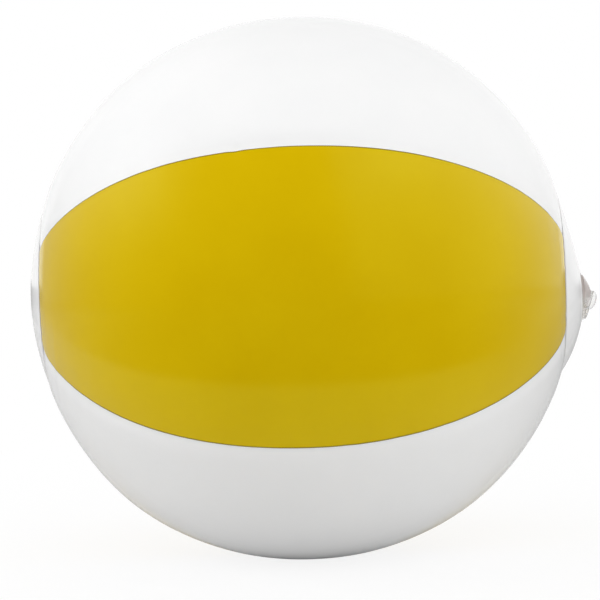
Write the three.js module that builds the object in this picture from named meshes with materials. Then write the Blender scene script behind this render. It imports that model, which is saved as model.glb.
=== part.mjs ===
// An inflated beach ball: six welded film panels, an end disc over each pole and a plug valve.
// Millimetres. The valve's pole is +X, up is +Z, and the ball stands on z = 0 round the origin.

import * as THREE from 'three';

// Skin: the film's radius at the girth and how the air and the welds draw it out of round
const BALL_RADIUS = 140;
const FILM_WALL = 0.3;
const SHOULDER_SWELL = 1;
const SEAM_PULL = 0.6;
const FLOOR_FLATTENING = 1.7;

// Welds: one film laps over the next, which steps down to pass beneath it
const SEAM_LAP = 4.5;
const STEP_RUN = 2;
const WELD_GAP = 0.3;
const END_TAPER = 3;
const TAPER_REACH = 6.5;

// End discs: each bulges from a ring where the panels' ends are drawn in
const DISC_RADIUS = 49;
const DISC_LAP = 5;
const PLAIN_RISE = 9.7;
const VALVE_RISE = 12.7;
const RING_PINCH = 0.6;
const PINCH_REACH = 14;

// Valve seat: a hole below the disc's middle, with a flange welded inside round it
const VALVE_DROP = 9;
const HOLE_RADIUS = 13.6;
const FLANGE_LEDGE = 1.6;
const FLANGE_BAND = 6.4;
const FLANGE_WALL = 0.8;

// Valve: heights are measured from the disc's outer face on the neck's axis, which leans down
const FIT_GAP = 0.3;
const NECK_LEAN = THREE.MathUtils.degToRad(18);
const WEB_WALL = 0.8;
const WEB_RISE = 2.7;
const NECK_BORE_RADIUS = 3.8;
const NECK_WALL = 1.1;
const NECK_STANDOUT = 4.6;
const NECK_DEPTH = 9;
const FLAP_WALL = 0.8;

// Cap: a plug with a rounded head, tied to the neck by a strap that loops out below it
const HEAD_RADIUS = 5.3;
const HEAD_HEIGHT = 3.6;
const HEAD_ROUND = 2.2;
const SHANK_LENGTH = 6;
const SHANK_CHAMFER = 0.8;
const STRAP_WIDTH = 4.5;
const STRAP_WALL = 0.7;
const STRAP_REACH = 9.8;

// Facets
const STEPS_ALONG = 20;
const STEPS_ACROSS = 11;
const DISC_STEPS_AROUND = 36;
const DISC_STEPS_OUT = 5;
const VALVE_STEPS_AROUND = 24;
const ROUND_STEPS = 4;
const STRAP_STEPS = 14;

// The neck leans by a turn about this axis, which takes +X down
const LEAN_AXIS = new THREE.Vector3(0, 1, 0);

// The panels in order round the ball, from the one that faces -Y up over the top
const PANELS = [
  { name: 'front_yellow_panel', colour: 'yellow' },
  { name: 'upper_front_white_panel', colour: 'white' },
  { name: 'upper_rear_yellow_panel', colour: 'yellow' },
  { name: 'rear_white_panel', colour: 'white' },
  { name: 'lower_rear_yellow_panel', colour: 'yellow' },
  { name: 'lower_front_white_panel', colour: 'white' },
];

const MATERIALS = {
  yellow: new THREE.MeshStandardMaterial({ color: '#c8a606', roughness: 0.3, metalness: 0 }),
  white: new THREE.MeshStandardMaterial({ color: '#f2f2f0', roughness: 0.3, metalness: 0 }),
  clear: new THREE.MeshStandardMaterial({ color: '#d9dcdb', roughness: 0.15, metalness: 0 }),
};

// Places that follow from the sizes above
const centreHeight = BALL_RADIUS - FLOOR_FLATTENING;
const panelAngle = (2 * Math.PI) / PANELS.length;
const seamRoll = SEAM_LAP / 2 / BALL_RADIUS;
const lapDepth = FILM_WALL + WELD_GAP;
const ringDistance = BALL_RADIUS - RING_PINCH;
const ringAngle = Math.asin(DISC_RADIUS / ringDistance);
const ringAxial = ringDistance * Math.cos(ringAngle);
const dropShare = VALVE_DROP / DISC_RADIUS;
const crownPull = (2 * VALVE_RISE * dropShare) / (1 - 3 * dropShare ** 2);
const crownRise = VALVE_RISE + crownPull * dropShare;
const neckRadius = NECK_BORE_RADIUS + NECK_WALL;
const webThroat = neckRadius + FIT_GAP;
const flangeBore = HOLE_RADIUS - FLANGE_LEDGE;
const webSeat = FIT_GAP - lapDepth - crownRise * (flangeBore / DISC_RADIUS) ** 2;
const headBottom = NECK_STANDOUT + FIT_GAP;

// A disc's outer face from the ball's centre plane: the valve's weight draws its disc's crown down to it
function discHeight(side, y, z) {
  const rise = side > 0 ? VALVE_RISE - (crownPull * z) / DISC_RADIUS : PLAIN_RISE;
  return ringAxial + rise * (1 - (y * y + z * z) / DISC_RADIUS ** 2);
}

// A panel's outer face as a distance from the centre: angle is taken from the nearer pole
function panelDistance(angle, roundAngle) {
  const share = (angle - ringAngle) / (Math.PI / 2 - ringAngle);
  const swell = SHOULDER_SWELL * Math.sin(Math.PI * share) ** 2;
  const fromRing = (angle - ringAngle) * ringDistance;
  const pinch = RING_PINCH * Math.max(0, 1 - fromRing / PINCH_REACH) ** 2;
  const seamTurn = (Math.PI * (roundAngle - panelAngle / 2 - seamRoll)) / panelAngle;
  const pull = SEAM_PULL * Math.cos(seamTurn) ** 2 * Math.sin((Math.PI / 2) * share);
  return BALL_RADIUS + swell - pinch - pull;
}

// A point of the skin at a depth below its outer face, flattened where it meets the floor
function skinPoint(polarAngle, roundAngle, depth) {
  const side = polarAngle < Math.PI / 2 ? 1 : -1;
  const angle = Math.min(polarAngle, Math.PI - polarAngle);
  const onDisc = angle < ringAngle;
  const distance = panelDistance(Math.max(angle, ringAngle), roundAngle);
  const girth = onDisc ? (DISC_RADIUS * angle) / ringAngle : distance * Math.sin(angle);
  const y = -girth * Math.cos(roundAngle);
  const z = girth * Math.sin(roundAngle);
  const axial = onDisc ? discHeight(side, y, z) : distance * Math.cos(angle);
  const point = new THREE.Vector3(side * axial, y, z);
  point.setLength(point.length() - depth);
  point.z = Math.max(point.z, depth - centreHeight);
  return point;
}

// A point on a disc at a depth below its outer face, with the disc facing +X
function discPoint(side, y, z, depth) {
  const point = new THREE.Vector3(discHeight(side, y, z), y, z);
  return point.setLength(point.length() - depth);
}

// A closed sheet between two grids of points, with its columns joined end to end where it wraps round
function sheet(rows, columns, wraps, outerPoint, innerPoint) {
  const width = wraps ? columns : columns + 1;
  const layer = (rows + 1) * width;
  const positions = [];
  const triangles = [];
  const at = (row, column) => row * width + (column % width);
  for (const pointAt of [outerPoint, innerPoint]) {
    for (let row = 0; row <= rows; row += 1) {
      for (let column = 0; column < width; column += 1) positions.push(...pointAt(row, column).toArray());
    }
  }
  const rim = [];
  for (let column = 0; column < columns; column += 1) {
    rim.push([at(0, column), at(0, column + 1)], [at(rows, column + 1), at(rows, column)]);
    for (let row = 0; row < rows; row += 1) {
      const a = at(row, column);
      const b = at(row, column + 1);
      const c = at(row + 1, column);
      const d = at(row + 1, column + 1);
      triangles.push(a, b, c, b, d, c);
      triangles.push(a + layer, c + layer, b + layer, b + layer, c + layer, d + layer);
    }
  }
  for (let row = 0; row < rows && !wraps; row += 1) {
    rim.push([at(row, columns), at(row + 1, columns)], [at(row + 1, 0), at(row, 0)]);
  }
  for (const [from, to] of rim) triangles.push(to, from, from + layer, to, from + layer, to + layer);
  const geometry = new THREE.BufferGeometry();
  geometry.setAttribute('position', new THREE.Float32BufferAttribute(positions, 3));
  geometry.setIndex(triangles);
  return geometry;
}

// A solid turned about +X from an outline of radius and height, drawn anticlockwise
function turned(outline, stepsAround) {
  return new THREE.LatheGeometry(outline, stepsAround).rotateZ(-Math.PI / 2);
}

function mesh(name, geometry, material) {
  const piece = new THREE.Mesh(geometry, material);
  piece.name = name;
  return piece;
}

// Rows of a panel from one end to the other: both ends pass beneath a disc
function panelRows() {
  const end = [
    { angle: ringAngle * (1 - DISC_LAP / DISC_RADIUS), depth: lapDepth },
    { angle: ringAngle + WELD_GAP / ringDistance, depth: lapDepth },
    { angle: ringAngle + (WELD_GAP + STEP_RUN) / ringDistance, depth: 0 },
  ];
  const first = end[end.length - 1].angle;
  const rows = [...end];
  for (let step = 1; step < STEPS_ALONG; step += 1) {
    rows.push({ angle: first + ((Math.PI - 2 * first) * step) / STEPS_ALONG, depth: 0 });
  }
  for (const row of end.reverse()) rows.push({ angle: Math.PI - row.angle, depth: row.depth });
  return rows;
}

// How much yellow film gives up to white film beside it, which is most at the discs
function endTaper(angle) {
  const nearest = Math.min(angle, Math.PI - angle);
  const fromRing = Math.max(0, nearest - ringAngle) * ringDistance;
  return END_TAPER * Math.exp(-fromRing / TAPER_REACH);
}

// Columns of a panel from edge to edge: insets are measured in from the edge of the yellow film
function panelColumns(edge) {
  const columns = edge.map((band) => ({ ...band, side: -1, share: 0 }));
  const inset = edge[edge.length - 1].inset;
  for (let step = 1; step < STEPS_ACROSS; step += 1) {
    columns.push({ inset, depth: 0, side: -1, share: step / STEPS_ACROSS });
  }
  for (const band of edge.toReversed()) columns.push({ ...band, side: 1, share: 0 });
  return columns;
}

// A panel round the ball's axis: yellow film laps over white film along both edges
function panel(index, colour) {
  const yellowEdge = [
    { inset: 0, depth: 0 },
    { inset: SEAM_LAP, depth: 0 },
  ];
  const whiteEdge = [
    { inset: -SEAM_LAP, depth: lapDepth },
    { inset: WELD_GAP, depth: lapDepth },
    { inset: WELD_GAP + STEP_RUN, depth: 0 },
  ];
  const rows = panelRows();
  const columns = panelColumns(colour === 'yellow' ? yellowEdge : whiteEdge);
  const centre = index * panelAngle + seamRoll;
  const pointAt = (depth) => (row, column) => {
    const { angle, depth: endDepth } = rows[row];
    const { inset, depth: edgeDepth, side, share } = columns[column];
    const girth = ringDistance * Math.sin(angle);
    const taper = colour === 'yellow' ? endTaper(angle) : -endTaper(angle);
    const halfTurn = panelAngle / 2 - (inset + taper) / girth;
    const turn = side * halfTurn * (1 - 2 * share);
    return skinPoint(angle, centre + turn, depth + endDepth + edgeDepth);
  };
  return sheet(rows.length - 1, columns.length - 1, false, pointAt(0), pointAt(FILM_WALL));
}

// The disc without a valve, as its two domed faces turned about the axis
function plainDisc() {
  const lapStart = DISC_RADIUS - DISC_LAP;
  const outer = [];
  for (let step = 0; step <= DISC_STEPS_OUT; step += 1) outer.push((lapStart * step) / DISC_STEPS_OUT);
  outer.push(DISC_RADIUS);
  const facePoint = (radius, depth) => {
    const point = discPoint(-1, radius, 0, depth);
    return new THREE.Vector2(point.y, point.x);
  };
  const inside = outer.map((radius) => facePoint(radius, FILM_WALL));
  const outside = outer.map((radius) => facePoint(radius, 0)).reverse();
  return turned([...inside, ...outside], DISC_STEPS_AROUND);
}

// A ring on the valve's disc through circles that are given from the innermost out
function discRing(circles, stepsAround, top, wall) {
  const pointAt = (depth) => (row, column) => {
    const { drop, radius } = circles[row];
    const turn = (-2 * Math.PI * column) / stepsAround;
    return discPoint(1, radius * Math.cos(turn), radius * Math.sin(turn) - drop, depth);
  };
  return sheet(circles.length - 1, stepsAround, true, pointAt(top), pointAt(top + wall));
}

// The disc with the valve's hole, whose rows of facets spread from the hole to the rim
function valveDisc() {
  const circles = [];
  for (let step = 0; step <= DISC_STEPS_OUT; step += 1) {
    const share = step / DISC_STEPS_OUT;
    const radius = THREE.MathUtils.lerp(HOLE_RADIUS, DISC_RADIUS - DISC_LAP, share);
    circles.push({ drop: VALVE_DROP * (1 - share), radius });
  }
  circles.push({ drop: 0, radius: DISC_RADIUS });
  return discRing(circles, DISC_STEPS_AROUND, 0, FILM_WALL);
}

// The flange lies against the inside of the disc and leaves a ledge inside the hole for the web
function valveFlange() {
  const radii = [flangeBore, HOLE_RADIUS, HOLE_RADIUS + FLANGE_BAND];
  const circles = radii.map((radius) => ({ drop: VALVE_DROP, radius }));
  return discRing(circles, DISC_STEPS_AROUND, lapDepth, FLANGE_WALL);
}

// The web is a soft cone from the flange's ledge to the neck, which it lets go in and out
function valveWeb() {
  const circles = [
    { radius: webThroat, height: WEB_RISE, lean: NECK_LEAN },
    { radius: flangeBore, height: webSeat + WEB_WALL, lean: 0 },
    { radius: HOLE_RADIUS - FIT_GAP, height: webSeat + WEB_WALL, lean: 0 },
  ];
  const pointAt = (depth) => (row, column) => {
    const { radius, height, lean } = circles[row];
    const turn = (-2 * Math.PI * column) / VALVE_STEPS_AROUND;
    const point = new THREE.Vector3(height - depth, radius * Math.cos(turn), radius * Math.sin(turn));
    return point.applyAxisAngle(LEAN_AXIS, lean);
  };
  return sheet(circles.length - 1, VALVE_STEPS_AROUND, true, pointAt(0), pointAt(WEB_WALL));
}

function valveNeck() {
  const outline = new THREE.Path();
  outline.moveTo(NECK_BORE_RADIUS, -NECK_DEPTH);
  outline.lineTo(neckRadius, -NECK_DEPTH);
  outline.lineTo(neckRadius, NECK_STANDOUT);
  outline.lineTo(NECK_BORE_RADIUS, NECK_STANDOUT);
  outline.closePath();
  return turned(outline.getPoints(), VALVE_STEPS_AROUND);
}

// The plug's shank fills the neck's bore, and its head covers the neck's end
function capPlug() {
  const shank = NECK_BORE_RADIUS - FIT_GAP;
  const tip = headBottom - SHANK_LENGTH;
  const headTop = headBottom + HEAD_HEIGHT;
  const outline = new THREE.Path();
  outline.moveTo(0, tip);
  outline.lineTo(shank - SHANK_CHAMFER, tip);
  outline.lineTo(shank, tip + SHANK_CHAMFER);
  outline.lineTo(shank, headBottom);
  outline.lineTo(HEAD_RADIUS, headBottom);
  outline.lineTo(HEAD_RADIUS, headTop - HEAD_ROUND);
  outline.absarc(HEAD_RADIUS - HEAD_ROUND, headTop - HEAD_ROUND, HEAD_ROUND, 0, Math.PI / 2);
  outline.lineTo(0, headTop);
  return turned(outline.getPoints(ROUND_STEPS), VALVE_STEPS_AROUND);
}

// The strap leaves the neck along the web, loops and comes back to the side of the plug's head
function capStrap() {
  const webFoot = new THREE.Vector3(webSeat + WEB_WALL, 0, -flangeBore).applyAxisAngle(LEAN_AXIS, -NECK_LEAN);
  const webSlope = (webFoot.x - WEB_RISE) / (-webFoot.z - webThroat);
  const webTilt = Math.atan(webSlope);
  const rootRadius = webThroat + (STRAP_WALL / 2) * Math.sin(Math.abs(webTilt));
  const rootHeight = WEB_RISE + (FIT_GAP + STRAP_WALL / 2) / Math.cos(webTilt);
  const headSide = HEAD_RADIUS + FIT_GAP;
  const headMiddle = headBottom + (HEAD_HEIGHT - HEAD_ROUND) / 2;
  const loop = (8 * STRAP_REACH - rootRadius - headSide) / 6;
  const route = new THREE.CubicBezierCurve(
    new THREE.Vector2(rootHeight, rootRadius),
    new THREE.Vector2(rootHeight + webSlope * (loop - rootRadius), loop),
    new THREE.Vector2(headMiddle, loop),
    new THREE.Vector2(headMiddle, headSide),
  );
  const near = [];
  const far = [];
  for (let step = 0; step <= STRAP_STEPS; step += 1) {
    const middle = route.getPoint(step / STRAP_STEPS);
    const along = route.getTangent(step / STRAP_STEPS);
    const across = new THREE.Vector2(-along.y, along.x).multiplyScalar(STRAP_WALL / 2);
    near.push(middle.clone().add(across));
    far.unshift(middle.clone().sub(across));
  }
  const section = new THREE.Shape([...near, ...far]);
  const strap = new THREE.ExtrudeGeometry(section, { depth: STRAP_WIDTH, bevelEnabled: false });
  return strap.translate(0, 0, -STRAP_WIDTH / 2).rotateX(-Math.PI / 2);
}

// The flap covers the neck's inner end and swings inwards from its upper edge
function checkFlap() {
  const top = -NECK_DEPTH - FIT_GAP;
  const outline = [
    new THREE.Vector2(0, top - FLAP_WALL),
    new THREE.Vector2(neckRadius, top - FLAP_WALL),
    new THREE.Vector2(neckRadius, top),
    new THREE.Vector2(0, top),
  ];
  return turned(outline, VALVE_STEPS_AROUND);
}

// The web sits square on the crown of its disc, and the soft neck leans down with all that it carries
function valve() {
  const group = new THREE.Group();
  group.position.set(discHeight(1, 0, -VALVE_DROP), 0, -VALVE_DROP);
  group.add(mesh('valve_web', valveWeb(), MATERIALS.clear));
  const leaning = new THREE.Group();
  leaning.rotation.y = NECK_LEAN;
  leaning.add(mesh('valve_neck', valveNeck(), MATERIALS.clear));
  leaning.add(mesh('cap_plug', capPlug(), MATERIALS.clear));
  leaning.add(mesh('cap_strap', capStrap(), MATERIALS.clear));
  leaning.add(mesh('check_flap', checkFlap(), MATERIALS.clear));
  group.add(leaning);
  return group;
}

// The ball's own frame has its origin at the centre, above the floor it rests on
const beachBall = new THREE.Group();
beachBall.position.z = centreHeight;
PANELS.forEach(({ name, colour }, index) => {
  beachBall.add(mesh(name, panel(index, colour), MATERIALS[colour]));
});
const farDisc = mesh('plain_end_disc', plainDisc(), MATERIALS.white);
farDisc.rotation.z = Math.PI;
beachBall.add(farDisc);
beachBall.add(mesh('valve_end_disc', valveDisc(), MATERIALS.white));
beachBall.add(mesh('valve_flange', valveFlange(), MATERIALS.clear));
beachBall.add(valve());

export default beachBall;
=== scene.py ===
"""An inflated beach ball of six film panels and two end discs, with a clear plug valve in one disc.

Lengths are in millimetres about the ball's centre until a mesh is made, in metres on the floor.
"""

import math

import bmesh
import bpy
import numpy as np
from mathutils import Matrix, Vector

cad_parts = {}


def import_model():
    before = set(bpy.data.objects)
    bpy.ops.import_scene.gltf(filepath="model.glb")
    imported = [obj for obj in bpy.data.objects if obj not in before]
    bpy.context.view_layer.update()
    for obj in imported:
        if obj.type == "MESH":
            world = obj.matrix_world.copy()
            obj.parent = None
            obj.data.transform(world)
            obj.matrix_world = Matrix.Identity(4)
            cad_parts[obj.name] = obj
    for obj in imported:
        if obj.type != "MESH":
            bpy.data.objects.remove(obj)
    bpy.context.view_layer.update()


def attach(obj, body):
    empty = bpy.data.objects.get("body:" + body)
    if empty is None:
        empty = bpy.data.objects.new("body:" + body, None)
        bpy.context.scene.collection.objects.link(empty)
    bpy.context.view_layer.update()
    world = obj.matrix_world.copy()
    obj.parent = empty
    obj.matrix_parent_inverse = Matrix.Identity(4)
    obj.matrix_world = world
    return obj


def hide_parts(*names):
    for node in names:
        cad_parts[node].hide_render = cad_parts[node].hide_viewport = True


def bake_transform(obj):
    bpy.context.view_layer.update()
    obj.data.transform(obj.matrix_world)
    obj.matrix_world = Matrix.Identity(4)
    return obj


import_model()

MM = 0.001

# Skin: the film's radius at the girth and how the air and the welds draw it out of round
BALL_RADIUS = 140
FILM_WALL = 0.3
SHOULDER_SWELL = 1
SEAM_PULL = 0.6
FLOOR_FLATTENING = 1.7

# Welds: yellow film laps over white film and narrows at its ends, and a disc laps over both
SEAM_LAP = 4.5
STEP_RUN = 8
RING_STEP_RUN = 2.5
WELD_GAP = 0.1
LAP_GAP = 0.04
END_TAPER = 3
TAPER_REACH = 6.5
EDGE_ROLL = 0.08
EDGE_ROLL_RUN = 1
# Darker lines at cut edges and round the rings: the film's own cut edge and weld, with painted shadow
# in the lap's gap and crease
SEAM_EDGE_AND_SHADE_LINE = 0.8
EDGE_AND_SHADE_FADE = 0.45
RING_EDGE_AND_SHADE_LINE = 0.75
EDGE_WANDER = 0.12
WANDER_LENGTHS = (17, 29)
WANDER_REACH = 1

# End discs: each bulges from a ring where the panels' ends are drawn in
DISC_RADIUS = 49
DISC_LAP = 5
PLAIN_RISE = 9.7
VALVE_RISE = 12.7
RING_PINCH = 0.6
PINCH_REACH = 14
PLAIN_CENTRE = 1.5

# Puckers along the seams as (pitch, height, half width, reach), and one deep pucker
PUCKERS_BY_PITCH = ((9, 0.04, 3.2, 9), (23, 0.07, 2.6, 24))
DEEP_PUCKER_SEAM = 0
DEEP_PUCKER_POLAR = math.radians(102)
DEEP_PUCKER_DEPTH = 0.5
DEEP_PUCKER_HALF = 2.4
DEEP_PUCKER_REACH = 5

# Pleats beside the discs, in counts round the ball, and slow waves of the film
PLEATS = (19, 26, 31, 37, 44)
PLEAT_HEIGHT = 0.1
PLEAT_REACH = 13
WAVE_LENGTHS = (55, 70, 85, 110)
WAVES_PER_LENGTH = 2
WAVE_HEIGHT = 0.05
RELIEF_SEED = 11

# Valve seat: a hole below the disc's middle, with a flange welded inside round it
VALVE_DROP = 9
HOLE_RADIUS = 13.6
FLANGE_LEDGE = 1.6
FLANGE_BAND = 6.4
FLANGE_WALL = 0.8
FLANGE_PRINT = 0.2
FLANGE_PRINT_FADE = 1.2

# Valve: heights are measured from the disc's outer face on the neck's axis, which leans down
FIT_GAP = 0.3
SEAT_GAP = 0.05
NECK_LEAN = math.radians(18)
WEB_WALL = 0.5
WEB_RISE = 3.3
WEB_FOOT_RADIUS = 11.7
WEB_FOOT_HEIGHT = 0.95
WEB_LEDGE_WALL = 0.8
WEB_COLLAR = 0.6
WEB_LEAN_POWER = 1.5
NECK_BORE_RADIUS = 3.8
NECK_WALL = 1.1
NECK_STANDOUT = 4.6
NECK_DEPTH = 9
FLAP_WALL = 0.8

# Cap: a plug with a domed head, tied to the neck by a strap that loops out below it
HEAD_RADIUS = 5
HEAD_HEIGHT = 3.1
HEAD_SIDE = 0.5
SHANK_LENGTH = 6
SHANK_CHAMFER = 0.8
STRAP_WIDTH = 4.5
STRAP_WALL = 0.7
STRAP_REACH = 9.8
STRAP_SINK = 0.1
STRAP_SQUARE = (0.4, 0.6)
MOULD_ROUND = 0.3
TOUCH_GAP = 0.02

# Facets
ROW_STEP = 1.5
LAP_ROWS = 4
STEP_ROWS = 6
EDGE_FIRST_STEP = 0.2
EDGE_STEP_GROWTH = 1.1
EDGE_STEPS = 21
MIDDLE_STEPS = 14
DISC_STEPS_AROUND = 180
DISC_STEPS_OUT = 26
RIM_STEPS = (0.25, 0.5, 0.7, 0.85, 0.93, 1)
FLANGE_STEPS = 9
VALVE_STEPS_AROUND = 72
ROUND_STEPS = 4
CONE_STEPS = 8
DOME_STEPS = 12
STRAP_STEPS = 36
STRAP_SIDES = 16
SHARP_ANGLE = math.radians(40)

# Finish of the film: shades, the tint of its gloss, and the sizes of its blotches and grain
YELLOW_SHADES = ((0.65, 0.436, 0.001), (0.672, 0.458, 0.0015))
# Edge colours: the cut edge's own darker colour, with painted shadow in the gap and crease of the lap
YELLOW_EDGE_AND_SHADE = (0.2, 0.125, 0.006)
YELLOW_GLOSS = 0.8
YELLOW_GLOSS_TINT = (0.55, 1, 0.16)
WHITE_SHADES = ((0.848, 0.85, 0.851), (0.866, 0.866, 0.865))
WHITE_EDGE_AND_SHADE = (0.7, 0.7, 0.69)
WHITE_GLOSS = 0.32
WHITE_GLOSS_TINT = (1, 1, 1)
FILM_SHADE_BLOTCH = 35
FILM_ROUGHNESS = (0.11, 0.15)
FILM_ROUGHNESS_BLOTCH = 18
FILM_IOR = 1.45
FILM_GRAIN = 0.9
FILM_GRAIN_DEPTH = 0.012
FILM_GRAIN_STRENGTH = 0.25

# Finish of the film's inner face, with a painted glow for the daylight that comes through the film
YELLOW_INSIDE_SHADE = (0.62, 0.45, 0.05)
WHITE_INSIDE_SHADE = (0.7, 0.7, 0.7)
INSIDE_DARKEST = 0.92
INSIDE_ROUGHNESS = 0.5
INSIDE_PAINTED_GLOW = 0.3

# Finish of the clear vinyl, with painted shade in brown on the web's upper side over heights about the
# valve's seat
CLEAR_TINTS = ((0.94, 0.935, 0.93), (0.98, 0.98, 0.98))
CLEAR_TINT_BLOTCH = 4
CLEARNESS = 0.85
WEB_CLEARNESS = 0.5
UPPER_PAINTED_SHADE = (0.66, 0.6, 0.58)
PAINTED_SHADE_REACH = (-5, 4)
BARE_OPACITY = 0.4
CLEAR_ROUGHNESS = (0.05, 0.12)
CLEAR_ROUGHNESS_BLOTCH = 2.5
CLEAR_IOR = 1.35
FLOW_MARK = 1.6
FLOW_MARK_DEPTH = 0.03
FLOW_MARK_STRENGTH = 0.05

# Noise: how fine it is, and the stretch of its values that is spread out to the ends of a range
BLOTCH_DETAIL = 3
GRAIN_DETAIL = 2
NOISE_STRETCH = (0.3, 0.7)

# Names of the values that meshes give to their materials
# The edge value marks the cut edges' darker line, which is partly painted shadow
EDGE_AND_SHADE_VALUE = "film_edge"
GLOW_VALUE = "glow"

# Floor, in metres: white to look at, with a pale sheet on it for the ball's gloss and light
FLOOR_HALF = 4
FLOOR_DROP = 0.0004
FLOOR_WHITES = (0.89, 0.91)
FLOOR_BLOTCH = 60
FLOOR_DARKEST = 0.012
FLOOR_WHITE_SHARES = (0.87, 1)
FLOOR_WHITE_REACH = (0.05, 0.5)
# The sheet is paler near the ball and darker on its right: painted light and painted shade
SHEET_WHITES = (0.73, 0.57)
SHEET_REACH = (0.03, 0.28)
SHEET_RIGHT_SHADE_REACH = (0.1, 0.4)
SHEET_RIGHT_SHADE_SHARE = 0.6
SHEET_FRONT = 0.265
SHEET_CURVE = 1.15
SHEET_EDGE = 0.015

# Room, in metres: a dark wall round the ball's front, lit at its sides and washed on the right
ROOM_RADIUS = 2.6
ROOM_HALF_TURN = math.radians(140)
ROOM_TOP = math.radians(66)
ROOM_STEPS = (70, 33)
ROOM_DARKS = (0.004, 0.008)
ROOM_BLOTCH = 90
ROOM_ROUGHNESS = 0.9
ROOM_LOW_SHARE = 0.5
ROOM_LIT_HEIGHT = math.radians(40)
WASH_EDGE = math.radians(12)
WASH_SOFTNESS = math.radians(14)
WASH_LEVELS = (0.2, 0.42)
WASH_LIFT = math.radians(55)

# Soft boxes on the room's wall as (turn, lift, half width, half height, level)
SOFTBOXES = (
    (math.radians(-80), math.radians(37), math.radians(22), math.radians(14), 0.6),
    (math.radians(48), math.radians(50), math.radians(24), math.radians(11), 0.5),
)

# Lamps as (name, place, size, watts), in metres, and the level of the light all round
LAMPS = (
    ("front_fill", (0, -1.7, 0.45), 2.2, 29),
    ("left_fill", (-1.6, -0.4, 0.6), 1.6, 15.5),
    ("right_fill", (1.6, -0.4, 0.2), 1.0, 11.5),
    ("rear_fill", (0.2, 1.8, 0.7), 1.8, 14),
    ("overhead", (-0.3, 0, 1.7), 1.4, 2.5),
)
WORLD_LEVEL = 0.5

# Camera: where the photograph's view stands, as turns of the ball and a distance in ball radii
IMAGE_SIZE = 600
SENSOR_WIDTH = 36
BALL_IN_IMAGE = (302.6, 287.6)
BALL_RADIUS_IN_IMAGE = 272.5
VIEW_RADII = 7.58
VIEW_PITCH = math.radians(2.91)
VIEW_YAW = math.radians(-0.467)
VIEW_ROLL = math.radians(-1.711)

# Panels in turn round the ball as (node, colour)
PANELS = (
    ("front_yellow_panel", "yellow"),
    ("upper_front_white_panel", "white"),
    ("upper_rear_yellow_panel", "yellow"),
    ("rear_white_panel", "white"),
    ("lower_rear_yellow_panel", "yellow"),
    ("lower_front_white_panel", "white"),
)

# Places that follow from the sizes above: the crown's pull makes its disc highest at the valve
CENTRE_HEIGHT = BALL_RADIUS - FLOOR_FLATTENING
PANEL_ANGLE = 2 * math.pi / len(PANELS)
SEAM_ROLL = SEAM_LAP / 2 / BALL_RADIUS
LAP_DEPTH = FILM_WALL + EDGE_ROLL + LAP_GAP
RING_DISTANCE = BALL_RADIUS - RING_PINCH
RING_ANGLE = math.asin(DISC_RADIUS / RING_DISTANCE)
RING_AXIAL = RING_DISTANCE * math.cos(RING_ANGLE)
END_ANGLE = RING_ANGLE * (1 - DISC_LAP / DISC_RADIUS)
DROP_SHARE = VALVE_DROP / DISC_RADIUS
CROWN_PULL = 2 * VALVE_RISE * DROP_SHARE / (1 - 3 * DROP_SHARE**2)
CROWN_RISE = VALVE_RISE + CROWN_PULL * DROP_SHARE
FLANGE_RADIUS = HOLE_RADIUS + FLANGE_BAND
FLANGE_BORE = HOLE_RADIUS - FLANGE_LEDGE
NECK_RADIUS = NECK_BORE_RADIUS + NECK_WALL
HEAD_BOTTOM = NECK_STANDOUT + FIT_GAP
VIEW_DISTANCE = VIEW_RADII * BALL_RADIUS

random = np.random.default_rng(RELIEF_SEED)


def smooth(share):
    """0 below 0, 1 above 1 and an even S between them."""
    share = np.clip(share, 0, 1)
    return share * share * (3 - 2 * share)


# Shape of the skin


def disc_height(side, y, z):
    """A disc's outer face from the ball's centre plane.

    The valve's weight draws the crown of its disc down to it.
    """
    rise = np.where(np.asarray(side) > 0, VALVE_RISE - CROWN_PULL * z / DISC_RADIUS, PLAIN_RISE)
    return RING_AXIAL + rise * (1 - (y * y + z * z) / DISC_RADIUS**2)


def from_ring(polar):
    """Distance along the skin from the nearer disc's ring, which is less than 0 beneath the disc."""
    return (np.minimum(polar, math.pi - polar) - RING_ANGLE) * RING_DISTANCE


def from_seam(girth, turn, seam):
    """Distance from a seam along a circle round the pole axis, of which girth is the radius."""
    off = turn - (seam + 0.5) * PANEL_ANGLE - SEAM_ROLL
    return girth * np.arctan2(np.sin(off), np.cos(off))


def panel_distance(angle, turn):
    """A panel's outer face as a distance from the centre: angle is taken from the nearer pole."""
    share = (angle - RING_ANGLE) / (math.pi / 2 - RING_ANGLE)
    swell = SHOULDER_SWELL * np.sin(math.pi * share) ** 2
    pinch = RING_PINCH * np.clip(1 - from_ring(angle) / PINCH_REACH, 0, None) ** 2
    seam_turn = math.pi * (turn - PANEL_ANGLE / 2 - SEAM_ROLL) / PANEL_ANGLE
    pull = SEAM_PULL * np.cos(seam_turn) ** 2 * np.sin(math.pi / 2 * share)
    return BALL_RADIUS + swell - pinch - pull


def make_puckers():
    """Puckers as (seam, polar angle, height, half width, reach), at random along each seam."""
    found = []
    for pitch, height, half, reach in PUCKERS_BY_PITCH:
        count = int((math.pi - 2 * RING_ANGLE) * BALL_RADIUS / pitch)
        for seam in range(len(PANELS)):
            for step in range(count):
                polar = RING_ANGLE + (step + random.random()) / count * (math.pi - 2 * RING_ANGLE)
                found.append((seam, polar, height * random.normal(), half, reach))
    return found


def make_waves():
    """Waves as (vector of radians per millimetre, phase)."""
    found = []
    for length in WAVE_LENGTHS * WAVES_PER_LENGTH:
        direction = random.normal(size=3)
        vector = direction / np.linalg.norm(direction) * 2 * math.pi / length
        found.append((vector, random.random() * 2 * math.pi))
    return found


PUCKERS = make_puckers()
PLEAT_PHASES = random.random(len(PLEATS)) * 2 * math.pi
WAVES = make_waves()


def bump(along, across, half, reach):
    """A soft rise of height 1 that falls off over half one way and over reach the other."""
    return np.exp(-((along / half) ** 2) - (across / reach) ** 2)


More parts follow.
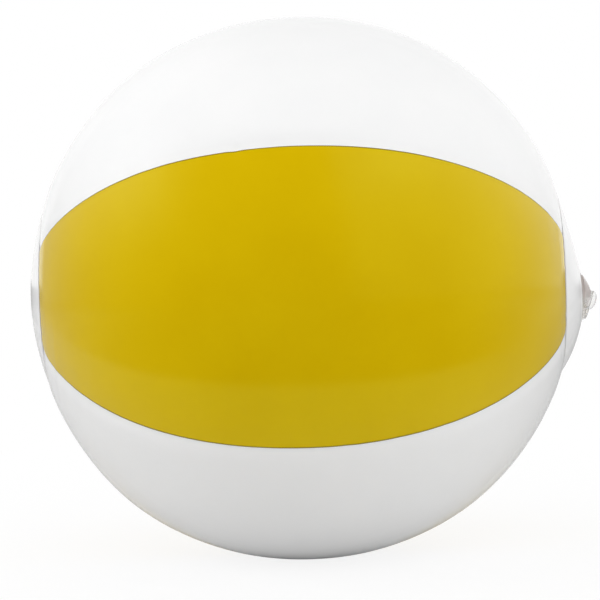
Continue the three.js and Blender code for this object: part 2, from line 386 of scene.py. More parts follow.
def relief(polar, turn):
    """How far the film stands out of its smooth form."""
    girth = BALL_RADIUS * np.sin(polar)
    height = np.zeros(np.broadcast(polar, turn).shape)
    for seam, centre, rise, half, reach in PUCKERS:
        along = (polar - centre) * BALL_RADIUS
        height += rise * bump(along, from_seam(girth, turn, seam), half, reach)
    along = (polar - DEEP_PUCKER_POLAR) * BALL_RADIUS
    across = from_seam(girth, turn, DEEP_PUCKER_SEAM)
    height -= DEEP_PUCKER_DEPTH * bump(along, across, DEEP_PUCKER_HALF, DEEP_PUCKER_REACH)
    pleats = [np.cos(count * turn + phase) for count, phase in zip(PLEATS, PLEAT_PHASES)]
    at_ring = np.exp(-((from_ring(polar) / PLEAT_REACH) ** 2))
    height += PLEAT_HEIGHT * (sum(pleats) / len(PLEATS)) * at_ring
    directions = (np.cos(polar), -np.sin(polar) * np.cos(turn), np.sin(polar) * np.sin(turn))
    place = BALL_RADIUS * np.stack(np.broadcast_arrays(*directions), -1)
    for vector, phase in WAVES:
        height += WAVE_HEIGHT * np.cos(place @ vector + phase)
    return height


def skin_points(polar, turn, depth):
    """Points of the skin at a depth below its outer face, flattened where it meets the floor."""
    polar, turn, depth = np.broadcast_arrays(polar, turn, depth)
    side = np.where(polar < math.pi / 2, 1.0, -1.0)
    angle = np.minimum(polar, math.pi - polar)
    on_disc = angle <= RING_ANGLE
    distance = panel_distance(np.maximum(angle, RING_ANGLE), turn)
    girth = np.where(on_disc, DISC_RADIUS * angle / RING_ANGLE, distance * np.sin(angle))
    y = -girth * np.cos(turn)
    z = girth * np.sin(turn)
    axial = np.where(on_disc, disc_height(side, y, z), distance * np.cos(angle))
    points = np.stack([side * axial, y, z], -1)
    length = np.linalg.norm(points, axis=-1)
    points *= ((length - depth + relief(polar, turn)) / length)[..., None]
    points[..., 2] = np.maximum(points[..., 2], depth - CENTRE_HEIGHT)
    return points


# Places of the valve and of the frame


def valve_point(height, across, up, lean=NECK_LEAN):
    """A point in the valve's own frame, whose axis leans down about its seat on the disc's crown."""
    axis = np.array((math.cos(lean), 0, -math.sin(lean)))
    rise = np.array((math.sin(lean), 0, math.cos(lean)))
    seat = np.array((float(disc_height(1, 0, -VALVE_DROP)), 0, -VALVE_DROP))
    return seat + height * axis + up * rise + np.array((0, across, 0))


def in_frame(points):
    """Points about the ball's centre as points of the frame, in metres."""
    return (np.asarray(points) + (0, 0, CENTRE_HEIGHT)) * MM


# Meshes


def grid_faces(rows, columns, wraps):
    """Faces between the neighbours in a grid of points, whose rows may wrap round."""
    at = np.arange(rows * columns).reshape(rows, columns)
    after = np.roll(at, -1, axis=1)
    spans = columns if wraps else columns - 1
    return np.stack([at[:-1], after[:-1], after[1:], at[1:]], -1)[:, :spans].reshape(-1, 4)


def mesh_object(name, points, faces, materials):
    """A closed smooth mesh object from points in millimetres about the ball's centre."""
    mesh = bpy.data.meshes.new(name)
    mesh.from_pydata(in_frame(points).tolist(), [], faces)
    work = bmesh.new()
    work.from_mesh(mesh)
    bmesh.ops.recalc_face_normals(work, faces=work.faces)
    work.to_mesh(mesh)
    work.free()
    mesh.polygons.foreach_set("use_smooth", [True] * len(mesh.polygons))
    mesh.set_sharp_from_angle(angle=SHARP_ANGLE)
    for material in materials:
        mesh.materials.append(material)
    piece = bpy.data.objects.new(name, mesh)
    bpy.context.scene.collection.objects.link(piece)
    return piece


def give_values(piece, name, values):
    """A mesh's points carry a value each, which its material reads by name."""
    piece.data.attributes.new(name, "FLOAT", "POINT").data.foreach_set("value", values)


def skin_sheet(name, grid, wall, materials, wraps, capped=False, edge_and_shade=None):
    """A closed sheet of the skin over a grid of polar angles, turns and depths.

    Its far side takes the last material. A sheet that wraps round is capped where its first row is
    a small circle that it has to cover. The last argument says where a cut edge's darker line shows,
    which is partly painted shadow at its lap.
    """
    polar, turn, depth = grid
    outer = skin_points(polar, turn, depth)
    inner = skin_points(polar, turn, depth + wall)
    rows, columns = outer.shape[:2]
    layer = rows * columns
    at = np.arange(layer).reshape(rows, columns)
    front = grid_faces(rows, columns, wraps)
    front_faces = front.tolist()
    back_faces = (front[:, ::-1] + layer).tolist()
    rims = [(at[-1], wraps)]
    if capped:
        front_faces.append(at[0].tolist())
        back_faces.append((at[0][::-1] + layer).tolist())
    else:
        rims.append((at[0], wraps))
    if not wraps:
        rims += [(at[:, 0], False), (at[:, -1], False)]
    rim_faces = []
    for loop, closed in rims:
        follow = np.roll(loop, -1)
        count = len(loop) if closed else len(loop) - 1
        rim_faces += np.stack([loop, loop + layer, follow + layer, follow], -1)[:count].tolist()
    points = np.concatenate([outer.reshape(-1, 3), inner.reshape(-1, 3)])
    piece = mesh_object(name, points, front_faces + back_faces + rim_faces, materials)
    used = np.zeros(len(piece.data.polygons), np.int32)
    used[len(front_faces): len(front_faces) + len(back_faces)] = len(materials) - 1
    piece.data.polygons.foreach_set("material_index", used)
    if edge_and_shade is not None:
        both_sides = np.tile(edge_and_shade.ravel(), 2).astype(np.float32)
        give_values(piece, EDGE_AND_SHADE_VALUE, both_sides)
    return piece


def turned_object(name, outline, material, lean_at=None):
    """A solid turned about the valve's axis from an outline of (radius, height).

    An outline that doesn't start on the axis is a closed loop. The lean may change with the radius.
    """
    turns = np.arange(VALVE_STEPS_AROUND) / VALVE_STEPS_AROUND * 2 * math.pi
    points = []
    rings = []
    for radius, height in outline:
        start = len(points)
        lean = lean_at(radius) if lean_at else NECK_LEAN
        if radius == 0:
            points.append(valve_point(height, 0, 0, lean))
            rings.append([start] * VALVE_STEPS_AROUND)
            continue
        for turn in turns:
            across, up = radius * math.cos(turn), radius * math.sin(turn)
            points.append(valve_point(height, across, up, lean))
        rings.append(list(range(start, start + VALVE_STEPS_AROUND)))
    if outline[0][0] > 0:
        rings.append(rings[0])
    faces = []
    for low, high in zip(rings, rings[1:]):
        for i in range(VALVE_STEPS_AROUND):
            j = (i + 1) % VALVE_STEPS_AROUND
            face = list(dict.fromkeys((low[i], low[j], high[j], high[i])))
            if len(face) > 2:
                faces.append(face)
    return mesh_object(name, points, faces, [material])


def rounded(corners):
    """An outline through corners given as (radius, height, rounding): a rounding of 0 stays sharp."""
    outline = []
    for i, (radius, height, rounding) in enumerate(corners):
        here = Vector((radius, height))
        if rounding == 0:
            outline.append((radius, height))
            continue
        before = Vector(corners[i - 1][:2]) - here
        after = Vector(corners[(i + 1) % len(corners)][:2]) - here
        first = here + before.normalized() * min(rounding, before.length / 2)
        last = here + after.normalized() * min(rounding, after.length / 2)
        for step in range(ROUND_STEPS + 1):
            t = step / ROUND_STEPS
            outline.append(tuple(first * (1 - t) ** 2 + here * 2 * t * (1 - t) + last * t * t))
    return outline


# Materials


class Nodes:
    """A material's node tree with short calls for the nodes that the finishes share."""

    # A mix node's sockets for colours come after those for its other kinds of data
    MIX_COLOURS = (6, 7)
    MIX_RESULT = 2

    def __init__(self, name):
        self.material = bpy.data.materials.new(name)
        self.material.use_nodes = True
        self.tree = self.material.node_tree
        self.shader = self.tree.nodes["Principled BSDF"]
        self.place = self.add("ShaderNodeTexCoord").outputs["Object"]

    def add(self, kind, **settings):
        """A new node with its settings."""
        node = self.tree.nodes.new(kind)
        for key, value in settings.items():
            setattr(node, key, value)
        return node

    def feed(self, socket, value):
        """A socket takes a plain number, a plain colour or the output of another node."""
        if isinstance(value, tuple):
            socket.default_value = (*value, 1)
        elif isinstance(value, (int, float)):
            socket.default_value = value
        else:
            self.tree.links.new(value, socket)

    def surface(self, **values):
        """Sockets of the surface itself take their values, with names in small letters."""
        sockets = {socket.name.lower().replace(" ", "_"): socket for socket in self.shader.inputs}
        for name, value in values.items():
            self.feed(sockets[name], value)

    def axes(self):
        """The place's distances along X, Y and Z."""
        node = self.add("ShaderNodeSeparateXYZ")
        self.feed(node.inputs[0], self.place)
        return tuple(node.outputs)

    def given(self, name):
        """A value that the mesh gives."""
        return self.add("ShaderNodeAttribute", attribute_name=name).outputs["Fac"]

    def noise(self, size, detail=BLOTCH_DETAIL):
        """Noise whose blotches are about that many millimetres across."""
        node = self.add("ShaderNodeTexNoise")
        self.feed(node.inputs["Scale"], 1 / (size * MM))
        self.feed(node.inputs["Detail"], detail)
        self.feed(node.inputs["Vector"], self.place)
        return node.outputs["Fac"]

    def passage(self, value, reach, levels, kind):
        """A value taken from one range to another and held at its ends."""
        node = self.add("ShaderNodeMapRange", interpolation_type=kind)
        for name, number in zip(("From Min", "From Max", "To Min", "To Max"), (*reach, *levels)):
            self.feed(node.inputs[name], number)
        self.feed(node.inputs["Value"], value)
        return node.outputs["Result"]

    def blotches(self, size, levels=(0, 1)):
        """Noise spread between two levels."""
        return self.passage(self.noise(size), NOISE_STRETCH, levels, "LINEAR")

    def ramp(self, value, reach, levels=(0, 1)):
        """A value's smooth passage between two levels."""
        return self.passage(value, reach, levels, "SMOOTHSTEP")

    def math(self, operation, *values):
        """An operation on outputs and plain numbers."""
        node = self.add("ShaderNodeMath", operation=operation)
        for socket, value in zip(node.inputs, values):
            self.feed(socket, value)
        return node.outputs[0]

    def mix(self, share, first, second):
        """A colour between two, each a plain colour or an output."""
        node = self.add("ShaderNodeMix", data_type="RGBA")
        self.feed(node.inputs["Factor"], share)
        for index, colour in zip(self.MIX_COLOURS, (first, second)):
            self.feed(node.inputs[index], colour)
        return node.outputs[self.MIX_RESULT]

    def grain(self, size, depth, strength):
        """Fine relief of the surface, in millimetres."""
        node = self.add("ShaderNodeBump")
        self.feed(node.inputs["Distance"], depth * MM)
        self.feed(node.inputs["Strength"], strength)
        self.feed(node.inputs["Height"], self.noise(size, GRAIN_DETAIL))
        self.surface(normal=node.outputs["Normal"])


def film_material(name, shades, edge_and_shade, gloss, gloss_tint):
    """Soft glossy film: slow changes of shade, a rolled sheet's grain, a darker cut edge and painted
    shadow.
    """
    nodes = Nodes(name)
    shade = nodes.mix(nodes.blotches(FILM_SHADE_BLOTCH), *shades)
    nodes.surface(
        # The edge colour over the cut edges' line is partly painted shadow
        base_color=nodes.mix(nodes.given(EDGE_AND_SHADE_VALUE), shade, edge_and_shade),
        roughness=nodes.blotches(FILM_ROUGHNESS_BLOTCH, FILM_ROUGHNESS),
        ior=FILM_IOR,
        specular_ior_level=gloss,
        specular_tint=gloss_tint,
    )
    nodes.grain(FILM_GRAIN, FILM_GRAIN_DEPTH, FILM_GRAIN_STRENGTH)
    return nodes.material


def inside_material(name, colour):
    """The film's inner face, with a little painted glow for the daylight that comes through the film.
    """
    nodes = Nodes(name)
    darkest = tuple(INSIDE_DARKEST * c for c in colour)
    shade = nodes.mix(nodes.blotches(FILM_SHADE_BLOTCH), darkest, colour)
    nodes.surface(
        base_color=shade,
        # Painted glow: the inner face emits its own colour
        emission_color=shade,
        emission_strength=INSIDE_PAINTED_GLOW,
        roughness=INSIDE_ROUGHNESS,
    )
    return nodes.material


def clear_material(name, clearness, painted_shade=None):
    """Clear soft vinyl with a slight haze and faint flow marks.

    With painted shade, it is brown on its upper side and is thin to look at below.
    """
    nodes = Nodes(name)
    tint = nodes.mix(nodes.blotches(CLEAR_TINT_BLOTCH), *CLEAR_TINTS)
    if painted_shade:
        # Painted shade: brown above, passing to the clear tint below the valve's seat
        _, _, height = nodes.axes()
        reach = tuple((CENTRE_HEIGHT - VALVE_DROP + end) * MM for end in PAINTED_SHADE_REACH)
        tint = nodes.mix(nodes.ramp(height, reach), tint, painted_shade)
        nodes.surface(alpha=nodes.ramp(height, reach, (BARE_OPACITY, 1)))
    nodes.surface(
        base_color=tint,
        transmission_weight=clearness,
        roughness=nodes.blotches(CLEAR_ROUGHNESS_BLOTCH, CLEAR_ROUGHNESS),
        ior=CLEAR_IOR,
    )
    nodes.grain(FLOW_MARK, FLOW_MARK_DEPTH, FLOW_MARK_STRENGTH)
    return nodes.material


YELLOW = film_material("yellow_film", YELLOW_SHADES, YELLOW_EDGE_AND_SHADE, YELLOW_GLOSS, YELLOW_GLOSS_TINT)
WHITE = film_material("white_film", WHITE_SHADES, WHITE_EDGE_AND_SHADE, WHITE_GLOSS, WHITE_GLOSS_TINT)
YELLOW_INSIDE = inside_material("yellow_film_inside", YELLOW_INSIDE_SHADE)
WHITE_INSIDE = inside_material("white_film_inside", WHITE_INSIDE_SHADE)
CLEAR = clear_material("clear_vinyl", CLEARNESS)
CLEAR_WEB = clear_material("clear_vinyl_web", WEB_CLEARNESS, UPPER_PAINTED_SHADE)
FILMS = {"yellow": [YELLOW, YELLOW_INSIDE], "white": [WHITE, WHITE_INSIDE]}


# Film panels and discs


def edge_roll(inset):
    """How far a cut edge is rolled down at a distance in from it."""
    return EDGE_ROLL * np.clip(1 - inset / EDGE_ROLL_RUN, 0, None) ** 2


def edge_and_shade_line(distance, reach):
    """The darker line of a cut edge and its painted shadow: 1 on the edge, and 0 past its reach."""
    return np.clip((reach - np.abs(distance)) / EDGE_AND_SHADE_FADE, 0, 1)


def edge_insets(first):
    """Distances in from an edge, close together at first."""
    steps = EDGE_FIRST_STEP * EDGE_STEP_GROWTH ** np.arange(EDGE_STEPS)
    return first + np.concatenate([[0], np.cumsum(steps)])


def edge_wander(polar, index):
    """How the cut edge of a panel wanders a little along its seam."""
    turns = [polar * BALL_RADIUS / length + index * length for length in WANDER_LENGTHS]
    return EDGE_WANDER * sum(np.sin(turn) for turn in turns) / len(turns)


def end_taper(polar):
    """How much yellow film gives up to white film beside it, which is most at the discs."""
    return END_TAPER * np.exp(-np.clip(from_ring(polar), 0, None) / TAPER_REACH)


def panel_rows():
    """Polar angles and depths along a panel, whose ends step down beneath the discs."""
    lap_rows = np.linspace(END_ANGLE, RING_ANGLE, LAP_ROWS)
    step_rows = RING_ANGLE + (WELD_GAP + np.linspace(0, RING_STEP_RUN, STEP_ROWS)) / RING_DISTANCE
    start = np.concatenate([lap_rows, step_rows])
    count = int((math.pi - 2 * start[-1]) * BALL_RADIUS / ROW_STEP)
    middle = np.linspace(start[-1], math.pi - start[-1], count)[1:-1]
    polar = np.concatenate([start, middle, (math.pi - start)[::-1]])
    return polar, LAP_DEPTH * (1 - smooth((from_ring(polar) - WELD_GAP) / RING_STEP_RUN))


def panel_columns(colour):
    """Distances in from the edge of the yellow film, and depths, over one half of a panel's edge."""
    if colour == "yellow":
        inset = edge_insets(0)
        return inset, edge_roll(inset)
    inset = np.concatenate([np.linspace(-SEAM_LAP, 0, LAP_ROWS), edge_insets(WELD_GAP)])
    return inset, LAP_DEPTH * (1 - smooth((inset - WELD_GAP) / STEP_RUN))


def panel_grid(index, colour):
    """Polar angles, turns and depths over a panel, and the line of its cut edges."""
    polar, row_depth = panel_rows()
    inset, edge_depth = panel_columns(colour)
    share = np.arange(1, MIDDLE_STEPS) / MIDDLE_STEPS
    insets = np.concatenate([inset, np.full(len(share), inset[-1]), inset[::-1]])
    depths = np.concatenate([edge_depth, np.zeros(len(share)), edge_depth[::-1]])
    spread = np.concatenate([-np.ones(len(inset)), 2 * share - 1, np.ones(len(inset))])
    if colour == "yellow":
        wander = np.outer(edge_wander(polar, index), np.exp(-np.abs(insets) / WANDER_REACH))
        shift = wander + end_taper(polar)[:, None]
        seam_line = SEAM_EDGE_AND_SHADE_LINE
    else:
        shift = -end_taper(polar)[:, None]
        seam_line = 0
    girth = RING_DISTANCE * np.sin(polar)
    half_turn = PANEL_ANGLE / 2 - (insets[None] + shift) / girth[:, None]
    turn = index * PANEL_ANGLE + SEAM_ROLL + spread[None] * half_turn
    depth = row_depth[:, None] + depths[None]
    # Painted shadow round the discs' rings and along the yellow film's cut edges, with their own
    # darker colour
    ring = edge_and_shade_line(from_ring(polar), RING_EDGE_AND_SHADE_LINE)[:, None]
    edge_and_shade = np.maximum(ring, edge_and_shade_line(insets, seam_line)[None])
    return (polar[:, None], turn, depth), edge_and_shade


def finish_film(piece, node):
    """A film piece takes its node's place on the ball, stretched over the pieces beside it."""
    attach(piece, "ball")
    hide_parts(node)


def panel(index, node, colour):
    """One panel of the six, between the two beside it."""
    grid, edge_and_shade = panel_grid(index, colour)
    name = node.replace("panel", "film")
    piece = skin_sheet(name, grid, FILM_WALL, FILMS[colour], wraps=False, edge_and_shade=edge_and_shade)
    finish_film(piece, node)


def disc_grid(drops, radii, side):
    """Polar angles and turns of circles on a disc, each with its drop below the axis and radius."""
    around = np.arange(DISC_STEPS_AROUND) / DISC_STEPS_AROUND * 2 * math.pi
    across = np.outer(radii, np.cos(around))
    up = np.outer(radii, np.sin(around)) - np.asarray(drops)[:, None]
    angle = RING_ANGLE * np.hypot(across, up) / DISC_RADIUS
    return (angle if side > 0 else math.pi - angle), np.arctan2(up, across)


def disc(name, node, side, drop, first, flange_print):
    """An end disc from its first circle out to its rim, which is rolled down a little.

    The first circle is a hole where it drops below the axis, and is covered where it doesn't. The
    flange behind the film prints through it.
    """
    lap_start = DISC_RADIUS - DISC_LAP
    bulge_radii = np.linspace(first, lap_start, DISC_STEPS_OUT)
    radii = np.concatenate([bulge_radii, lap_start + DISC_LAP * np.array(RIM_STEPS)])
    drops = drop * np.clip(1 - (radii - first) / (lap_start - first), 0, 1)
    polar, turn = disc_grid(drops, radii, side)
    from_rim = DISC_RADIUS - radii
    print_edge = FLANGE_RADIUS - FLANGE_PRINT_FADE / 2
    printed = flange_print * (1 - smooth((radii - print_edge) / FLANGE_PRINT_FADE))
    depth = edge_roll(from_rim) - printed
    # The rim's darker line: its own cut edge, with painted shadow where it laps over the panels
    edge_and_shade = np.broadcast_to(edge_and_shade_line(from_rim, RING_EDGE_AND_SHADE_LINE)[:, None], polar.shape)
    grid = (polar, turn, depth[:, None])
    covered = drop == 0
    piece = skin_sheet(name, grid, FILM_WALL, FILMS["white"], wraps=True, capped=covered, edge_and_shade=edge_and_shade)
    finish_film(piece, node)


for panel_index, (panel_node, panel_colour) in enumerate(PANELS):
    panel(panel_index, panel_node, panel_colour)
disc("plain_end_film", "plain_end_disc", -1, 0, PLAIN_CENTRE, 0)
disc("valve_end_film", "valve_end_disc", 1, VALVE_DROP, HOLE_RADIUS, FLANGE_PRINT)


# Valve


def finish_moulding(piece, node, body=None):
    """A moulded piece takes its node's place, on a body if it rides with one alone."""
    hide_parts(node)
    if body:
        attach(piece, body)


def flange():
    """The ring welded to the inside of the valve's disc, with a ledge inside the hole."""
    radii = np.linspace(FLANGE_BORE, FLANGE_RADIUS, FLANGE_STEPS)
    polar, turn = disc_grid(np.full(FLANGE_STEPS, VALVE_DROP), radii, 1)
    grid = (polar, turn, LAP_DEPTH)
    piece = skin_sheet("flange_moulding", grid, FLANGE_WALL, [CLEAR], wraps=True)
    finish_moulding(piece, "valve_flange", "ball")


def web_lean(radius):
    """The cone stands square on the disc at its foot and leans with the neck at its top."""
    share = (WEB_FOOT_RADIUS - radius) / (WEB_FOOT_RADIUS - NECK_RADIUS - WEB_COLLAR)
    return NECK_LEAN * min(max(share, 0), 1) ** WEB_LEAN_POWER


def web():
    """A soft cone on a short foot, which stands on the flange's ledge.

    The cone stands square at its foot and leans with the neck towards its top.
    """
    seat = SEAT_GAP - LAP_DEPTH - CROWN_RISE * (FLANGE_BORE / DISC_RADIUS) ** 2
    ledge = seat + WEB_LEDGE_WALL
    rim = HOLE_RADIUS - FIT_GAP
    foot = WEB_FOOT_RADIUS
    under = foot - WEB_WALL
    throat = NECK_RADIUS + TOUCH_GAP
    collar = throat + WEB_COLLAR
    rise = WEB_RISE - WEB_FOOT_HEIGHT
    cone = [step / CONE_STEPS for step in range(1, CONE_STEPS)]
    inside = [(throat + (under - throat) * t, WEB_RISE - WEB_WALL - rise * t, 0) for t in cone]
    outside = [(foot + (collar - foot) * t, WEB_FOOT_HEIGHT + rise * t, 0) for t in cone]
    outline = rounded([
        (throat, WEB_RISE - WEB_WALL, 0),
        *inside,
        (under, WEB_FOOT_HEIGHT - WEB_WALL, MOULD_ROUND),
        (under, seat, MOULD_ROUND),
        (rim, seat, MOULD_ROUND),
        (rim, ledge, MOULD_ROUND),
        (foot, ledge, MOULD_ROUND),
        (foot, WEB_FOOT_HEIGHT, MOULD_ROUND),
        *outside,
        (collar, WEB_RISE, MOULD_ROUND),
        (throat, WEB_RISE + WEB_COLLAR, 0),
    ])
    piece = turned_object("web_moulding", outline, CLEAR_WEB, web_lean)
    finish_moulding(piece, "valve_web")
    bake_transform(piece)


def neck():
    """The tube that the ball is blown up through."""
    outline = rounded([
        (NECK_BORE_RADIUS, -NECK_DEPTH, MOULD_ROUND),
        (NECK_RADIUS, -NECK_DEPTH, MOULD_ROUND),
        (NECK_RADIUS, NECK_STANDOUT, 2 * MOULD_ROUND),
        (NECK_BORE_RADIUS, NECK_STANDOUT, MOULD_ROUND),
    ])
    finish_moulding(turned_object("neck_moulding", outline, CLEAR), "valve_neck", "valve")


def plug():
    """The stopper in the neck: a chamfered shank under a domed head."""
    shank = NECK_BORE_RADIUS - FIT_GAP
    tip = HEAD_BOTTOM - SHANK_LENGTH
    dome_start = HEAD_BOTTOM + HEAD_SIDE
    dome_height = HEAD_HEIGHT - HEAD_SIDE
    outline = rounded([
        (0, tip, 0),
        (shank - SHANK_CHAMFER, tip, MOULD_ROUND),
        (shank, tip + SHANK_CHAMFER, MOULD_ROUND),
        (shank, HEAD_BOTTOM, MOULD_ROUND),
        (HEAD_RADIUS, HEAD_BOTTOM, MOULD_ROUND),
        (HEAD_RADIUS, dome_start, 0),
    ])
    for step in range(1, DOME_STEPS):
        turn = math.pi / 2 * step / DOME_STEPS
        outline.append((HEAD_RADIUS * math.cos(turn), dome_start + dome_height * math.sin(turn)))
    outline.append((0, HEAD_BOTTOM + HEAD_HEIGHT))
    finish_moulding(turned_object("plug_moulding", outline, CLEAR), "cap_plug", "plug")


def cubic(controls, t):
    """Place and direction of a cubic curve of four control points at a share of its run."""
    weights = ((1 - t) ** 3, 3 * t * (1 - t) ** 2, 3 * t * t * (1 - t), t**3)
    slopes = (-3 * (1 - t) ** 2, 3 * (1 - t) * (1 - 3 * t), 3 * t * (2 - 3 * t), 3 * t * t)
    place = sum(weight * control for weight, control in zip(weights, controls))
    direction = sum(slope * control for slope, control in zip(slopes, controls))
    return place, direction


def strap_section(side):
    """A corner of the strap's section as (across, thick): an oval with squared sides."""
    turn = 2 * math.pi * side / STRAP_SIDES
    wide, thick = math.cos(turn), math.sin(turn)
    across = STRAP_WIDTH / 2 * math.copysign(abs(wide) ** STRAP_SQUARE[0], wide)
    return across, STRAP_WALL / 2 * math.copysign(abs(thick) ** STRAP_SQUARE[1], thick)


def strap():
    """The strap leaves the neck below the plug, loops and comes back to the side of its head."""
    low = WEB_RISE + WEB_COLLAR + STRAP_WALL / 2
    high = HEAD_BOTTOM + HEAD_SIDE
    root = NECK_RADIUS - STRAP_SINK
    end = HEAD_RADIUS - STRAP_SINK
    # The middle of a cubic curve is an eighth of its ends and three eighths of its inner controls
    loop = (8 * STRAP_REACH - root - end) / 6
    controls = [np.array(c) for c in ((low, root), (low, loop), (high, loop), (high, end))]
    points = []
    for step in range(STRAP_STEPS + 1):
        middle, along = cubic(controls, step / STRAP_STEPS)
        normal = np.array((-along[1], along[0])) / np.linalg.norm(along)
        for side in range(STRAP_SIDES):
            across, thick = strap_section(side)
            height, radius = middle + thick * normal
            points.append(valve_point(height, across, -radius))
    faces = grid_faces(STRAP_STEPS + 1, STRAP_SIDES, wraps=True).tolist()
    last = len(points) - STRAP_SIDES
    faces += [list(range(STRAP_SIDES)), list(range(last, len(points)))]
    piece = mesh_object("strap_moulding", points, faces, [CLEAR])
    finish_moulding(piece, "cap_strap")
    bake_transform(piece)


def flap():
    """The check flap that lies on the neck's inner end."""
    top = -NECK_DEPTH - FIT_GAP
    outline = rounded([
        (0, top - FLAP_WALL, 0),
        (NECK_RADIUS, top - FLAP_WALL, MOULD_ROUND),
        (NECK_RADIUS, top, MOULD_ROUND),
        (0, top, 0),
    ])
    finish_moulding(turned_object("flap_moulding", outline, CLEAR), "check_flap", "flap")


flange()
web()
neck()
plug()
strap()
flap()


# Stage


def stage_object(name, points, faces, material):
    """A piece of the stage, with points in metres."""
    mesh = bpy.data.meshes.new(name)
    mesh.from_pydata(points, [], faces)
    mesh.materials.append(material)
    item = bpy.data.objects.new(name, mesh)
    bpy.context.scene.collection.objects.link(item)
    return item


def floor_sheet(nodes, distance):
    """The floor that the ball's gloss and light see.

    It is a white sheet with a curved edge in front, with painted light near the ball and painted shade
    on its right. Beyond it is a dark room with painted light at its sides.
    """
    across, along, _ = nodes.axes()
    # Painted light: the sheet is paler near the ball, and painted shade darkens its right side
    white = nodes.ramp(distance, SHEET_REACH, SHEET_WHITES)
    shaded = nodes.ramp(across, SHEET_RIGHT_SHADE_REACH, (1, SHEET_RIGHT_SHADE_SHARE))
    sheet = nodes.math("MULTIPLY", white, shaded)
    square = nodes.math("MULTIPLY", across, across)
    behind = nodes.math("MULTIPLY_ADD", square, -SHEET_CURVE, along)
    on_sheet = nodes.ramp(behind, (-SHEET_FRONT - SHEET_EDGE, -SHEET_FRONT + SHEET_EDGE))
    ahead = nodes.math("MULTIPLY", along, -1)
    turn = nodes.math("ARCTAN2", nodes.math("ABSOLUTE", across), ahead)
    # Painted light: the room beyond is paler at its sides
    side = nodes.ramp(turn, (0, ROOM_HALF_TURN))
    lit = nodes.math("MULTIPLY", side, side)
    beyond = nodes.math("MULTIPLY_ADD", lit, ROOM_LOW_SHARE, FLOOR_DARKEST)
    return nodes.mix(on_sheet, beyond, sheet)


def floor():
    """A white floor that keeps the ball's shadow and meets the white background without a line."""
    nodes = Nodes("floor_white")
    path = nodes.add("ShaderNodeLightPath")
    seen = nodes.math("MAXIMUM", path.outputs["Is Camera Ray"], path.outputs["Is Transmission Ray"])
    pale = nodes.mix(nodes.noise(FLOOR_BLOTCH), *((white,) * 3 for white in FLOOR_WHITES))
    length = nodes.add("ShaderNodeVectorMath", operation="LENGTH")
    nodes.feed(length.inputs[0], nodes.place)
    distance = length.outputs["Value"]
    diffuse = nodes.add("ShaderNodeBsdfDiffuse")
    nodes.feed(diffuse.inputs["Color"], nodes.mix(seen, floor_sheet(nodes, distance), pale))
    white = nodes.add("ShaderNodeEmission")
    mixed = nodes.add("ShaderNodeMixShader")
    fade = nodes.ramp(distance, FLOOR_WHITE_REACH, FLOOR_WHITE_SHARES)
    nodes.feed(mixed.inputs[0], nodes.math("MULTIPLY", seen, fade))
    nodes.feed(mixed.inputs[1], diffuse.outputs[0])
    nodes.feed(mixed.inputs[2], white.outputs[0])
    nodes.feed(nodes.tree.nodes["Material Output"].inputs["Surface"], mixed.outputs[0])
    nodes.tree.nodes.remove(nodes.shader)
    corners = [(-1, -1), (1, -1), (1, 1), (-1, 1)]
    points = [(x * FLOOR_HALF, y * FLOOR_HALF, -FLOOR_DROP) for x, y in corners]
    stage_object("floor", points, [(0, 1, 2, 3)], nodes.material)


def room_glow(turn, lift):
    """Brightness of the room: dark ahead, lit sides, a pale wall on the right and soft boxes."""
    side = float(smooth(abs(turn) / ROOM_HALF_TURN)) ** 2
    glow = side * (ROOM_LOW_SHARE + (1 - ROOM_LOW_SHARE) * float(smooth(lift / ROOM_LIT_HEIGHT)))
    low, high = WASH_LEVELS
    wash = low + (high - low) * float(smooth(lift / WASH_LIFT))
    glow += float(smooth((turn - WASH_EDGE) / WASH_SOFTNESS)) * wash
    for box_turn, box_lift, half_width, half_height, level in SOFTBOXES:
        glow += level * bump(turn - box_turn, lift - box_lift, half_width, half_height)
    return min(glow, 1)


def room():
    """The room round the ball's front, which shows in its gloss and light and not in the view."""
    nodes = Nodes("room")
    nodes.surface(
        base_color=nodes.mix(nodes.noise(ROOM_BLOTCH), *((dark,) * 3 for dark in ROOM_DARKS)),
        roughness=ROOM_ROUGHNESS,
        specular_ior_level=0,
        emission_color=(1, 1, 1),
        emission_strength=nodes.given(GLOW_VALUE),
    )
    points = []
    levels = []
    across, up = ROOM_STEPS
    for row in range(up + 1):
        lift = ROOM_TOP * row / up
        girth = ROOM_RADIUS * math.cos(lift)
        height = ROOM_RADIUS * math.sin(lift)
        for column in range(across + 1):
            turn = ROOM_HALF_TURN * (2 * column / across - 1)
            points.append((girth * math.sin(turn), -girth * math.cos(turn), height))
            levels.append(room_glow(turn, lift))
    faces = grid_faces(up + 1, across + 1, wraps=False).tolist()
    wall = stage_object("room", points, faces, nodes.material)
    give_values(wall, GLOW_VALUE, levels)
    wall.visible_camera = False
    wall.visible_transmission = False


def lamp(name, place, size, watts):
    """A broad fill that gives light and no highlight."""
    data = bpy.data.lights.new(name, "AREA")
    data.shape = "DISK"
    data.size = size
    data.energy = watts
    data.cycles.use_multiple_importance_sampling = False
    item = bpy.data.objects.new(name, data)
    item.location = place
    aim = Vector((0, 0, CENTRE_HEIGHT * MM)) - item.location
    item.rotation_euler = aim.to_track_quat("-Z", "Y").to_euler()
    item.visible_glossy = False
    bpy.context.scene.collection.objects.link(item)


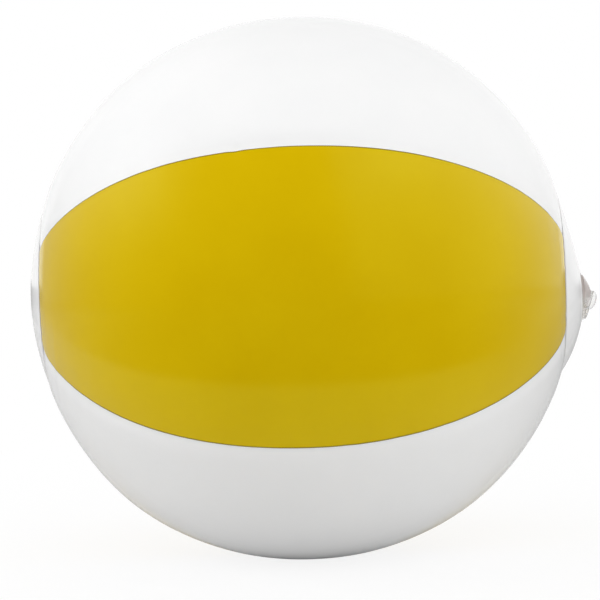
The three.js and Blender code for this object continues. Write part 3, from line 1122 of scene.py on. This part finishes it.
def world():
    """An even light all round, which is white to look at, in gloss and through what is clear."""
    scene_world = bpy.data.worlds.new("studio")
    scene_world.use_nodes = True
    tree = scene_world.node_tree
    light = tree.nodes["Background"]
    light.inputs["Color"].default_value = (1, 1, 1, 1)
    light.inputs["Strength"].default_value = WORLD_LEVEL
    white = tree.nodes.new("ShaderNodeBackground")
    white.inputs["Color"].default_value = (1, 1, 1, 1)
    path = tree.nodes.new("ShaderNodeLightPath")
    seen = path.outputs["Is Camera Ray"]
    for kind in ("Is Glossy Ray", "Is Transmission Ray"):
        most = tree.nodes.new("ShaderNodeMath")
        most.operation = "MAXIMUM"
        tree.links.new(seen, most.inputs[0])
        tree.links.new(path.outputs[kind], most.inputs[1])
        seen = most.outputs[0]
    mixed = tree.nodes.new("ShaderNodeMixShader")
    tree.links.new(seen, mixed.inputs[0])
    tree.links.new(light.outputs[0], mixed.inputs[1])
    tree.links.new(white.outputs[0], mixed.inputs[2])
    tree.links.new(mixed.outputs[0], tree.nodes["World Output"].inputs["Surface"])
    bpy.context.scene.world = scene_world


def camera():
    """The photograph's view, aimed at the ball's centre and shifted to where the photograph has it."""
    turn = (
        Matrix.Rotation(VIEW_ROLL, 3, "Y")
        @ Matrix.Rotation(VIEW_YAW, 3, "Z")
        @ Matrix.Rotation(VIEW_PITCH, 3, "X")
    )
    back = turn.transposed()
    data = bpy.data.cameras.new("camera")
    focal_pixels = BALL_RADIUS_IN_IMAGE * math.sqrt(VIEW_RADII**2 - 1)
    data.sensor_width = SENSOR_WIDTH
    data.lens = SENSOR_WIDTH * focal_pixels / IMAGE_SIZE
    middle = (IMAGE_SIZE - 1) / 2
    data.shift_x = (middle - BALL_IN_IMAGE[0]) / IMAGE_SIZE
    data.shift_y = (BALL_IN_IMAGE[1] - middle) / IMAGE_SIZE
    item = bpy.data.objects.new("camera", data)
    place = Vector((0, 0, CENTRE_HEIGHT)) + back @ Vector((0, -VIEW_DISTANCE, 0))
    right, up, behind = (back @ Vector(axis) for axis in ((1, 0, 0), (0, 0, 1), (0, -1, 0)))
    axes = Matrix((right, up, behind)).transposed()
    item.matrix_world = Matrix.Translation(place * MM) @ axes.to_4x4()
    bpy.context.scene.collection.objects.link(item)
    bpy.context.scene.camera = item


floor()
room()
for settings in LAMPS:
    lamp(*settings)
world()
camera()
bpy.context.scene.view_settings.view_transform = "Standard"
